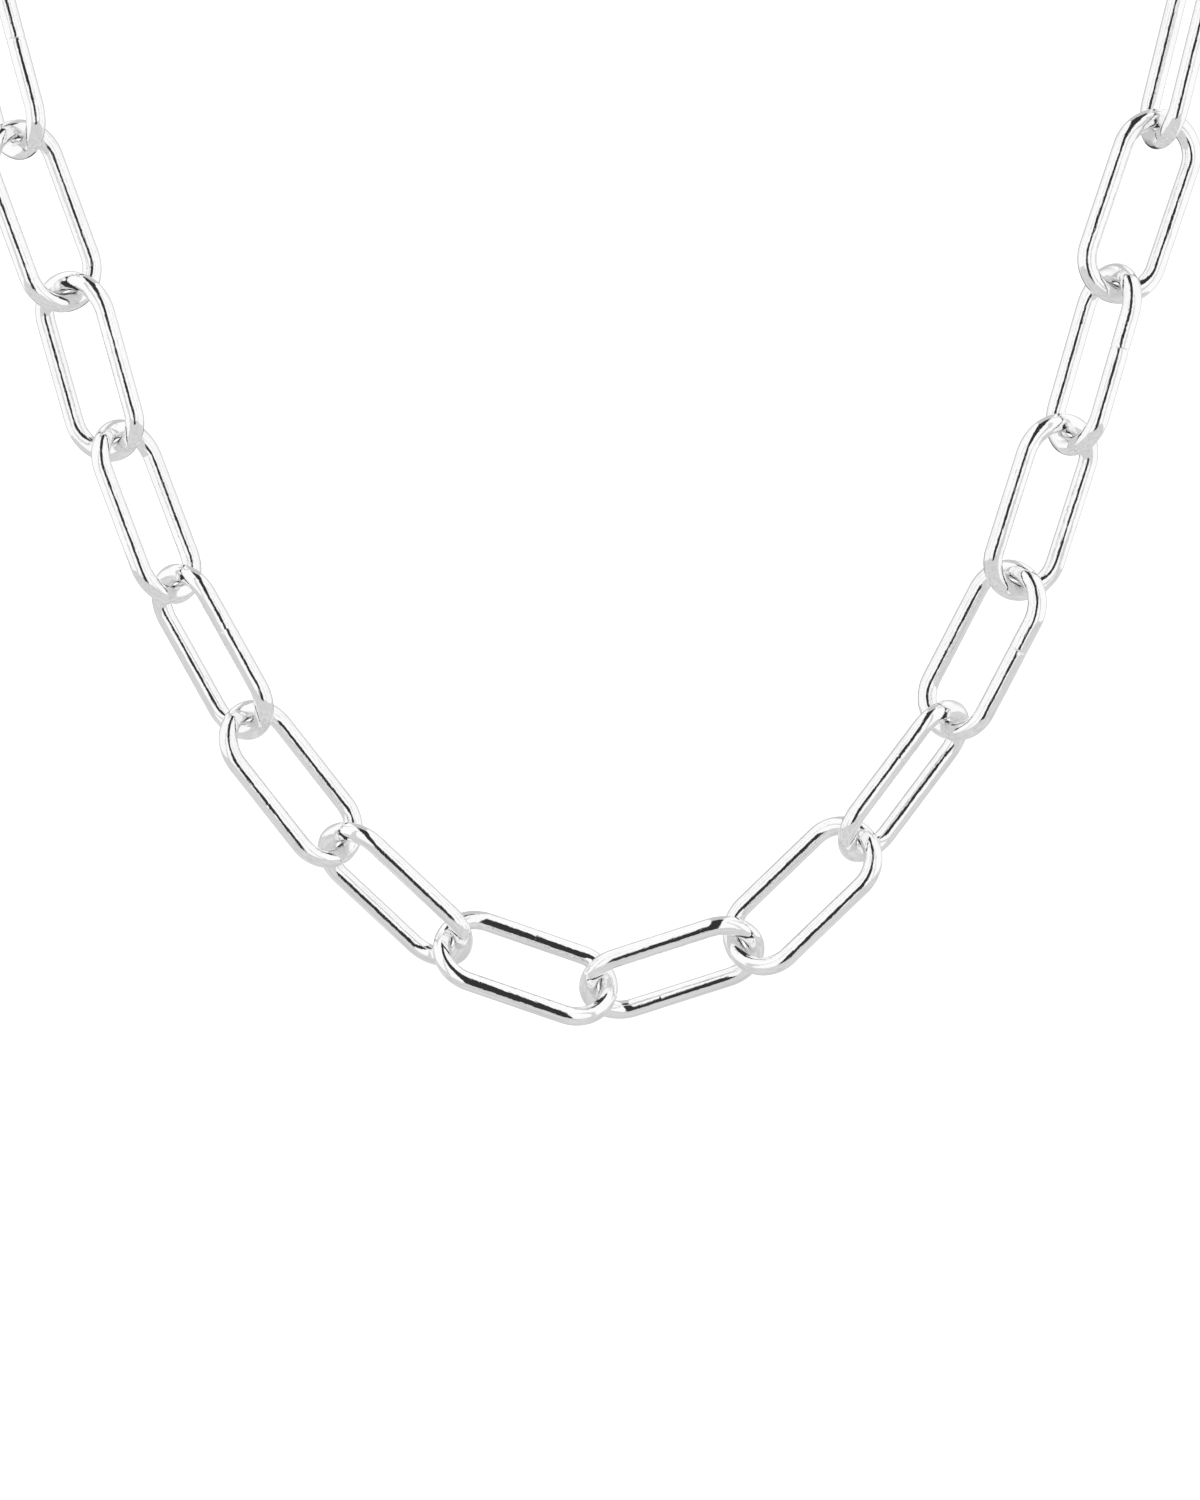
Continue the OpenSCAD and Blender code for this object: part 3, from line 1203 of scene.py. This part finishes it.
class NECKLACE_OT_studio(bpy.types.Operator):
    """Set up the white tent, the floor, the soft light and the camera"""

    bl_idname = "necklace.studio"
    bl_label = "Set up studio"

    def execute(self, context):
        scene = context.scene
        studio = scene.necklace_studio
        scene.view_settings.view_transform = "Standard"
        scene.view_settings.look = "None"
        scene.world = tent_world(studio)
        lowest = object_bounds()[0].z
        floor_level = lowest - studio.floor_drop
        studio_floor(floor_level)
        soft_light(
            "overhead_light", place=(0.0, -0.3, 1.6), aim=(0.0, 0.0, floor_level), size=2.2, power=9.0
        )
        aim = self.aim_point(scene.necklace_links, studio)
        tent_sheets(studio, lowest - studio.table_drop, aim)
        self.place_camera(scene, studio, aim)
        return {"FINISHED"}

    def aim_point(self, sizes, studio):
        """The point of the front stretch as far above its lowest joint as the photograph's middle is."""
        middle = sizes.in_front // 2
        left, right = link_places(LINKS[middle - 1 : middle + 1])
        end = Vector(((sizes.length - sizes.width) / 2, 0.0, 0.0))
        joint = (left @ end + right @ -end) / 2
        lean = studio.front_lean
        aim = joint + Vector((0.0, math.sin(lean), math.cos(lean))) * studio.aim_rise
        aim.x += studio.aim_across
        return aim

    def place_camera(self, scene, studio, aim):
        """The camera in front of the aim, raised and as far away as the settings say."""
        rise = studio.camera_rise
        back = Vector((0.0, -math.cos(rise), math.sin(rise)))
        data = bpy.data.cameras.new("studio_camera")
        data.sensor_fit = "HORIZONTAL"
        data.sensor_width = 36.0
        data.lens = data.sensor_width * studio.camera_away / studio.view_width
        data.clip_start = 0.01
        data.clip_end = 50.0
        camera = bpy.data.objects.new("studio_camera", data)
        scene.collection.objects.link(camera)
        camera.location = aim + back * studio.camera_away
        camera.rotation_euler = back.to_track_quat("Z", "Y").to_euler()
        scene.camera = camera


class NECKLACE_PT_panel(bpy.types.Panel):
    """Lists the necklace's steps"""

    bl_idname = "NECKLACE_PT_panel"
    bl_label = "Paperclip chain"
    bl_space_type = "VIEW_3D"
    bl_region_type = "UI"
    bl_category = "Necklace"

    def draw(self, context):
        for step in STEPS:
            self.layout.operator(step.bl_idname)
        for group in GROUPS:
            box = self.layout.box()
            settings = getattr(context.scene, group)
            for name in settings.__annotations__:
                box.prop(settings, name)


STEPS = (
    NECKLACE_OT_finishes,
    NECKLACE_OT_front_links,
    NECKLACE_OT_side_links,
    NECKLACE_OT_clasp,
    NECKLACE_OT_studio,
)
GROUPS = {
    "necklace_links": LinkSizes,
    "necklace_clasp": ClaspSizes,
    "necklace_silver": SilverFinish,
    "necklace_studio": StudioSettings,
}
CLASSES = (*GROUPS.values(), *STEPS, NECKLACE_PT_panel)


def register():
    for cls in CLASSES:
        bpy.utils.register_class(cls)
    for name, group in GROUPS.items():
        setattr(bpy.types.Scene, name, PointerProperty(type=group))


def unregister():
    for name in GROUPS:
        delattr(bpy.types.Scene, name)
    for cls in reversed(CLASSES):
        bpy.utils.unregister_class(cls)


def main():
    register()
    bpy.ops.necklace.finishes()
    bpy.ops.necklace.front_links()
    bpy.ops.necklace.side_links()
    bpy.ops.necklace.clasp()
    bpy.ops.necklace.studio()


if __name__ == "__main__":
    main()
